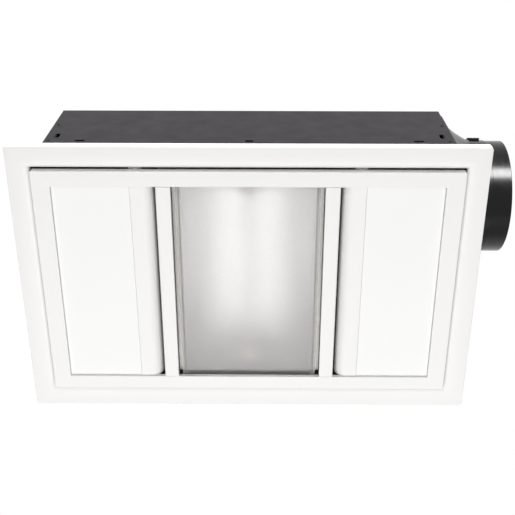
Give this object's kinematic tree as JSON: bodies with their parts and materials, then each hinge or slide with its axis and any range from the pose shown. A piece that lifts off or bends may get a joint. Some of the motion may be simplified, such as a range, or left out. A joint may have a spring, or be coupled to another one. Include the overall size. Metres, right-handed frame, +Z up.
{
  "type": "bathroom heater fan light",
  "caption": "Ceiling unit with a lamp heater behind frosted glass, an exhaust fan with a round side duct and opal light panels in a rectangular white fascia.",
  "frame": {"origin": "middle of the fascia in the plane of the ceiling", "axes": "+X along the long side towards the duct, +Y along the short side, +Z up into the ceiling void"},
  "size_m": [0.598, 0.352, 0.218],
  "materials": {
    "white_abs": "satin moulded ABS",
    "black_coated_steel": "satin black powder coat",
    "black_moulding": "glossy black moulding",
    "black_nylon": "matt black nylon",
    "opal_acrylic": "opal, lit from behind",
    "frosted_glass": "frosted on its outer face",
    "stippled_aluminium": "stippled, bright",
    "aluminised_steel": "bright sheet",
    "galvanised_steel": "spangled sheet",
    "zinc_fastener": "zinc plated",
    "spring_steel": "drawn wire",
    "ground_steel": "ground and polished",
    "motor_enamel": "grey enamel",
    "black_impeller": "moulded",
    "black_rubber": "matt",
    "white_ceramic": "steatite",
    "clear_quartz": "clear",
    "tungsten_coil": "dark wire",
    "white_board": "white solder mask",
    "white_nylon": "natural nylon",
    "grey_case": "moulded case",
    "black_phenolic": "moulded"
  },
  "bodies": {
    "housing": {"bezel": "white_abs", "bezel_brackets": "galvanised_steel", "bezel_screws": "zinc_fastener", "blower_screws": "zinc_fastener", "blower_scroll": "galvanised_steel", "blower_standoffs": "zinc_fastener", "cable_gland": "black_nylon", "cover_screws": "zinc_fastener", "duct_adaptor": "black_moulding", "duct_spigot": "black_moulding", "fan_capacitor": "grey_case", "fixing_screws": "zinc_fastener", "flap_pin": "ground_steel", "gland_nut": "black_nylon", "glass_clips": "spring_steel", "hanger_clips": "white_nylon", "heat_shield": "aluminised_steel", "heater_glass": "frosted_glass", "heater_reflector": "stippled_aluminium", "housing_end_left": "black_coated_steel", "housing_end_right": "black_coated_steel", "housing_rivets": "black_coated_steel", "housing_wrap": "black_coated_steel", "inlet_ring": "black_nylon", "inlet_screws": "zinc_fastener", "lamp_caps": "white_ceramic", "lamp_filament": "tungsten_coil", "lamp_holders": "white_ceramic", "lamp_tube": "clear_quartz", "led_driver": "grey_case", "motor_bearings": "ground_steel", "motor_body": "motor_enamel", "motor_grommets": "black_rubber", "motor_screws": "zinc_fastener", "reflector_ends": "stippled_aluminium", "scroll_cover": "galvanised_steel", "scroll_floor": "galvanised_steel", "spigot_clips": "black_moulding", "terminal_block": "white_nylon", "terminal_box": "black_nylon", "terminal_cover": "black_nylon", "thermal_cutout": "black_phenolic"},
    "panel": {"panel_frame": "white_abs", "heater_bar_left": "white_abs", "heater_bar_right": "white_abs", "led_tray_left": "white_abs", "led_tray_right": "white_abs", "led_board_left": "white_board", "led_board_right": "white_board", "diffuser_left": "opal_acrylic", "diffuser_right": "opal_acrylic", "panel_screws": "zinc_fastener", "hanger_posts": "zinc_fastener"},
    "impeller": {"motor_shaft": "ground_steel", "impeller": "black_impeller", "impeller_nut": "zinc_fastener"},
    "flap_near": {"flap_near": "black_nylon", "flap_spring_near": "spring_steel"},
    "flap_far": {"flap_far": "black_nylon", "flap_spring_far": "spring_steel"}
  },
  "joints": [
    {"name": "impeller_spin", "type": "hinge", "parent": "housing", "child": "impeller", "pos_m": [0.062, 0.004, 0.13], "axis": [0, 0, 1], "continuous": true},
    {"name": "flap_near_swing", "type": "hinge", "parent": "housing", "child": "flap_near", "pos_m": [0.2965, -0.062, 0.12], "axis": [0, 0, 1], "range_deg": [0, 75], "stiffness_Nm_per_rad": 0.002},
    {"name": "flap_far_swing", "type": "hinge", "parent": "housing", "child": "flap_far", "pos_m": [0.2965, -0.062, 0.12], "axis": [0, 0, -1], "range_deg": [0, 75], "stiffness_Nm_per_rad": 0.002},
    {"name": "panel_drop", "type": "slide", "parent": "housing", "child": "panel", "axis": [0, 0, -1], "range_m": [0, 0.042]}
  ]
}
